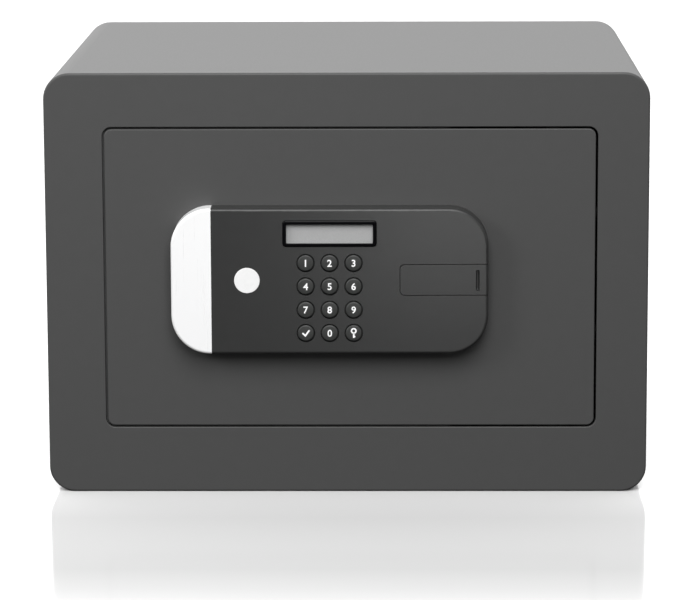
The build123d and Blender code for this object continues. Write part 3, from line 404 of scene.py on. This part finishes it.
def plate_from_loops(name, loops, holes=()):
    """Closed flat plate from outlines, each an XY loop; a hole belongs to its loop."""
    bm = bmesh.new()
    for outline, hole in zip(loops, list(holes) + [None] * (len(loops) - len(holes))):
        if hole is None:
            tops = [bm.verts.new((x, y, 0.0002)) for x, y in outline]
            lows = [bm.verts.new((x, y, -0.0002)) for x, y in outline]
            bm.faces.new(tops)
            bm.faces.new(list(reversed(lows)))
            k = len(tops)
            for i in range(k):
                j = (i + 1) % k
                bm.faces.new((tops[i], lows[i], lows[j], tops[j]))
        else:
            k = len(outline)
            rings = []
            for pts, z in (
                (outline, 0.0002),
                (hole, 0.0002),
                (hole, -0.0002),
                (outline, -0.0002),
            ):
                rings.append([bm.verts.new((x, y, z)) for x, y in pts])
            for a, c in ((0, 1), (1, 2), (2, 3), (3, 0)):
                for i in range(k):
                    j = (i + 1) % k
                    bm.faces.new((rings[a][i], rings[a][j], rings[c][j], rings[c][i]))
    bmesh.ops.recalc_face_normals(bm, faces=bm.faces)
    bmesh.ops.triangulate(bm, faces=[f for f in bm.faces if len(f.verts) > 4])
    me = bpy.data.meshes.new(name)
    bm.to_mesh(me)
    bm.free()
    return me


def circle(cx, cy, r, n=40):
    return [
        (cx + r * math.cos(2 * math.pi * i / n), cy + r * math.sin(2 * math.pi * i / n))
        for i in range(n)
    ]


check_pts = [(-1.95, 0.15), (-0.35, -1.45), (2.05, 1.75)]
check_mesh = plate_from_loops(
    "tick", [ribbon([(x * MM, y * MM) for x, y in check_pts], 0.95 * MM)]
)
stem = [
    (-0.5, 0.0),
    (0.5, 0.0),
    (0.5, -1.6),
    (0.95, -1.6),
    (0.95, -2.35),
    (0.5, -2.35),
    (0.5, -2.75),
    (-0.5, -2.75),
]
key_icon = plate_from_loops(
    "key_icon",
    [circle(0, 1.4 * MM, 1.72 * MM), [(x * MM, y * MM) for x, y in stem]],
    [circle(0, 1.4 * MM, 0.86 * MM)],
)

for name, ob in list(nodes.items()):
    if not name.startswith("key_") or name == "key_membrane":
        continue
    lo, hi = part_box(name)
    cx, cz = (lo.x + hi.x) / 2, (lo.z + hi.z) / 2
    tail = name[4:]
    if tail == "confirm":
        me = check_mesh.copy()
    elif tail == "program":
        me = key_icon.copy()
    else:
        me = text_mesh(tail)
    flat_to_cap(me, cx, cz)
    leg = put(new_object("legend_" + tail, me), INK)
    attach(leg, name + "_body")

# ---------------------------------------------------------------------------
# needle-felt lining on the floor of the safe
# ---------------------------------------------------------------------------

lo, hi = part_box("floor_lining")
NX, NY = 106, 86
bm = bmesh.new()
grid = {}
anchors = [(-0.110, 0.0), (0.110, 0.0)]


def wave(x, y):
    return (
        0.00010 * math.sin(x * 31.0 + 1.3) * math.sin(y * 27.0 + 0.4)
        + 0.00006 * math.sin(x * 83.0) * math.cos(y * 71.0 + 0.9)
    )


for i in range(NX + 1):
    for j in range(NY + 1):
        x = lo.x + (hi.x - lo.x) * i / NX
        y = lo.y + (hi.y - lo.y) * j / NY
        edge = min(i, NX - i, j, NY - j)
        drop = (0.0012, 0.0004, 0.0001)[edge] if edge < 3 else 0.0
        for ax, ay in anchors:
            d = math.hypot(x - ax, y - ay)
            if 0.0085 < d < 0.0115:
                k = 0.0092 / d
                x, y = ax + (x - ax) * k, ay + (y - ay) * k
        grid[i, j] = bm.verts.new((x, y, hi.z - 0.0002 - drop + wave(x, y)))
for i in range(NX):
    for j in range(NY):
        q = [grid[i, j], grid[i + 1, j], grid[i + 1, j + 1], grid[i, j + 1]]
        mx = sum(v.co.x for v in q) / 4
        my = sum(v.co.y for v in q) / 4
        if any(math.hypot(mx - ax, my - ay) < 0.0087 for ax, ay in anchors):
            continue
        bm.faces.new(q)
loose = [v for v in bm.verts if not v.link_faces]
bmesh.ops.delete(bm, geom=loose, context="VERTS")
top_faces = bm.faces[:]
res = bmesh.ops.extrude_face_region(bm, geom=top_faces)
low = [g for g in res["geom"] if isinstance(g, bmesh.types.BMVert)]
for v in low:
    v.co.z = lo.z + 0.00002
bmesh.ops.recalc_face_normals(bm, faces=bm.faces)
me = bpy.data.meshes.new("felt_lining")
bm.to_mesh(me)
bm.free()
for p in me.polygons:
    p.use_smooth = True
felt_ob = put(new_object("felt_lining", me), FELT)
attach(felt_ob, "root")
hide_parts("floor_lining")

# ---------------------------------------------------------------------------
# floor, light and camera
# ---------------------------------------------------------------------------

me = bpy.data.meshes.new("studio_floor")
S = 30.0
me.from_pydata([(-S, -S, 0), (S, -S, 0), (S, S, 0), (-S, S, 0)], [], [(0, 1, 2, 3)])
floor = new_object("studio_floor", me)
fm = bpy.data.materials.new("studio_white")
fm.use_nodes = True
nt = fm.node_tree
for n in list(nt.nodes):
    nt.nodes.remove(n)
out = nt.nodes.new("ShaderNodeOutputMaterial")
mix = nt.nodes.new("ShaderNodeMixShader")
dif = nt.nodes.new("ShaderNodeBsdfDiffuse")
dif.inputs["Color"].default_value = (0.92, 0.92, 0.92, 1)
glo = nt.nodes.new("ShaderNodeBsdfGlossy")
glo.inputs["Roughness"].default_value = 0.09
glo.inputs["Color"].default_value = (1, 1, 1, 1)
tc = nt.nodes.new("ShaderNodeTexCoord")
sep = nt.nodes.new("ShaderNodeSeparateXYZ")
along = nt.nodes.new("ShaderNodeMapRange")
along.inputs["From Min"].default_value = -0.450
along.inputs["From Max"].default_value = -0.150
ramp = nt.nodes.new("ShaderNodeValToRGB")
SHARE = [
    (-0.450, 0.00),
    (-0.400, 0.455),
    (-0.372, 0.515),
    (-0.330, 0.56),
    (-0.285, 0.525),
    (-0.215, 0.49),
    (-0.170, 0.375),
    (-0.150, 0.34),
]
while len(ramp.color_ramp.elements) < len(SHARE):
    ramp.color_ramp.elements.new(0.5)
for el, (y, share) in zip(ramp.color_ramp.elements, SHARE):
    el.position = (y + 0.45) / 0.30
for el, (y, share) in zip(ramp.color_ramp.elements, SHARE):
    el.color = (share, share, share, 1)
nt.links.new(tc.outputs["Object"], sep.inputs["Vector"])
nt.links.new(sep.outputs["Y"], along.inputs["Value"])
nt.links.new(along.outputs["Result"], ramp.inputs["Fac"])
nt.links.new(ramp.outputs["Color"], mix.inputs["Fac"])
nt.links.new(dif.outputs["BSDF"], mix.inputs[1])
nt.links.new(glo.outputs["BSDF"], mix.inputs[2])
nt.links.new(mix.outputs["Shader"], out.inputs["Surface"])
floor.data.materials.append(fm)
floor.visible_diffuse = False
floor.visible_glossy = False
floor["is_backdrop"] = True

world = bpy.data.worlds.new("studio")
bpy.context.scene.world = world
world.use_nodes = True
bg = world.node_tree.nodes["Background"]
bg.inputs["Color"].default_value = (1, 1, 1, 1)
wt = world.node_tree
wc = wt.nodes.new("ShaderNodeTexCoord")
ws = wt.nodes.new("ShaderNodeSeparateXYZ")
wt.links.new(wc.outputs["Generated"], ws.inputs["Vector"])


def world_range(socket, a, b, lo, hi):
    r = wt.nodes.new("ShaderNodeMapRange")
    r.interpolation_type = "SMOOTHSTEP"
    r.inputs["From Min"].default_value = a
    r.inputs["From Max"].default_value = b
    r.inputs["To Min"].default_value = lo
    r.inputs["To Max"].default_value = hi
    wt.links.new(socket, r.inputs["Value"])
    return r.outputs["Result"]


wm = wt.nodes.new("ShaderNodeMath")
wm.operation = "MULTIPLY"
wt.links.new(world_range(ws.outputs["Y"], -0.7, 0.5, 0.34, 1.60), wm.inputs[0])
wt.links.new(world_range(ws.outputs["Z"], -0.03, 0.01, 0.0, 1.0), wm.inputs[1])
wx = wt.nodes.new("ShaderNodeMath")
wx.operation = "MULTIPLY"
wt.links.new(wm.outputs["Value"], wx.inputs[0])
wt.links.new(world_range(ws.outputs["X"], -0.3, 0.3, 1.06, 0.92), wx.inputs[1])
wt.links.new(wx.outputs["Value"], bg.inputs["Strength"])


def area(name, loc, target, size, power):
    li = bpy.data.lights.new(name, "AREA")
    li.shape = "RECTANGLE"
    li.size, li.size_y = size
    li.energy = power
    ob = bpy.data.objects.new(name, li)
    ob.location = loc
    d = (Vector(target) - Vector(loc)).normalized()
    ob.rotation_mode = "QUATERNION"
    ob.rotation_quaternion = d.to_track_quat("-Z", "Y")
    ob.visible_camera = False
    bpy.context.scene.collection.objects.link(ob)
    return ob


area("key_softbox", (0.10, -1.95, 1.60), (0, -0.15, 0.12), (1.3, 1.8), 61.0)
area("left_softbox", (-1.0, -0.9, 0.75), (-0.1, -0.15, 0.14), (0.4, 0.4), 6.0)
low = area("low_fill", (-0.10, -0.85, 0.04), (-0.05, -0.15, 0.14), (0.5, 0.06), 0.28)
low.visible_glossy = False

# a small low panel that only the fascia's sheen picks up
panel = area("fascia_panel", (0.085, -0.66, 0.110), (0.03, -0.16, 0.14), (0.15, 0.10), 0.32)
panel.visible_diffuse = False
sheen = bpy.data.collections.new("fascia_sheen")
for name in ("fascia_housing", "slide_cover"):
    sheen.objects.link(nodes[name])
panel.light_linking.receiver_collection = sheen

cam_data = bpy.data.cameras.new("camera")
cam_data.sensor_fit = "HORIZONTAL"
cam_data.sensor_width = 36.0
cam_data.lens = 178.92
cam_data.clip_start = 0.05
cam_data.clip_end = 100.0
cam = bpy.data.objects.new("camera", cam_data)
bpy.context.scene.collection.objects.link(cam)
yaw, pitch, roll = math.radians(-0.8216), math.radians(10.208), math.radians(-0.199)
fwd = Vector(
    (math.sin(yaw) * math.cos(pitch), math.cos(yaw) * math.cos(pitch), -math.sin(pitch))
)
right = Vector((math.cos(yaw), -math.sin(yaw), 0))
up = right.cross(fwd)
r2 = right * math.cos(roll) + up * math.sin(roll)
u2 = -right * math.sin(roll) + up * math.cos(roll)
rot = Matrix((r2, u2, -fwd)).transposed()
cam.matrix_world = Matrix.Translation((0.0303, -2.14184, 0.47295)) @ rot.to_4x4()
bpy.context.scene.camera = cam

bpy.context.scene.view_settings.view_transform = "Standard"
bpy.context.scene.view_settings.look = "None"

lo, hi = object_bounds()
